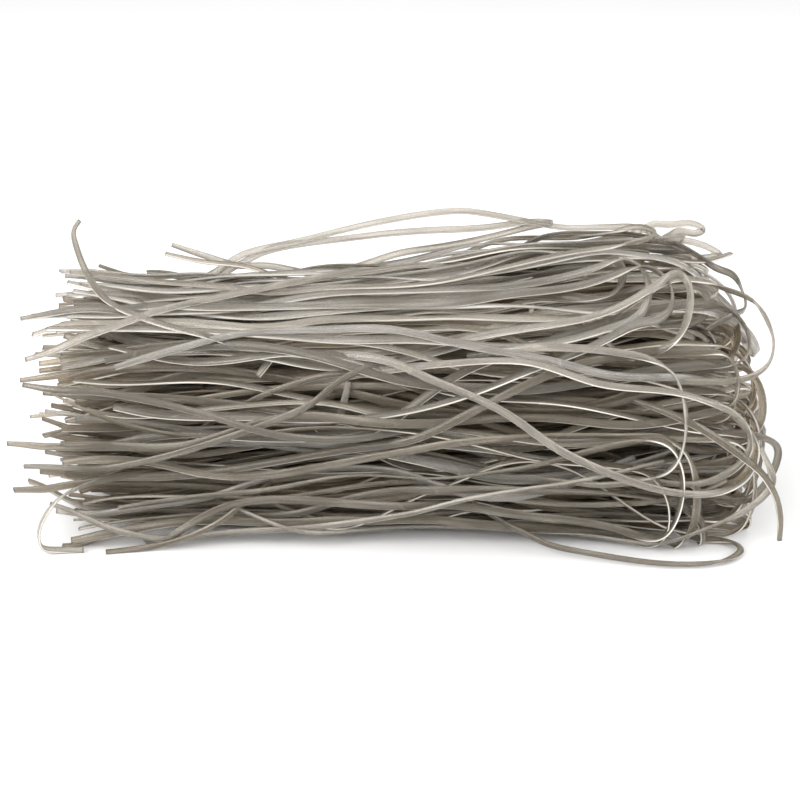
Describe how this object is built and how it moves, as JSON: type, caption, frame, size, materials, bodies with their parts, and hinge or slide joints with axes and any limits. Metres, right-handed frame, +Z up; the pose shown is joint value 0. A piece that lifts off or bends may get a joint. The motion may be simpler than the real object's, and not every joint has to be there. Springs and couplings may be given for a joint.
{
  "type": "bundle of dried sweet potato noodles",
  "caption": "Loose bundle of flat dried sweet potato noodles, folded at one end and cut at the other, resting on its flattened underside.",
  "frame": {"origin": "middle of the flattened underside, on the plane the bundle rests on", "axes": "+X along the noodles from the cut ends to the folds, +Z up, -Y towards the front"},
  "size_m": [0.3359, 0.1411, 0.125],
  "materials": {
    "dried_noodle": "translucent grey dried starch, slightly glossy"
  },
  "bodies": {
    "root": {"noodle_bundle": "dried_noodle"}
  },
  "joints": []
}
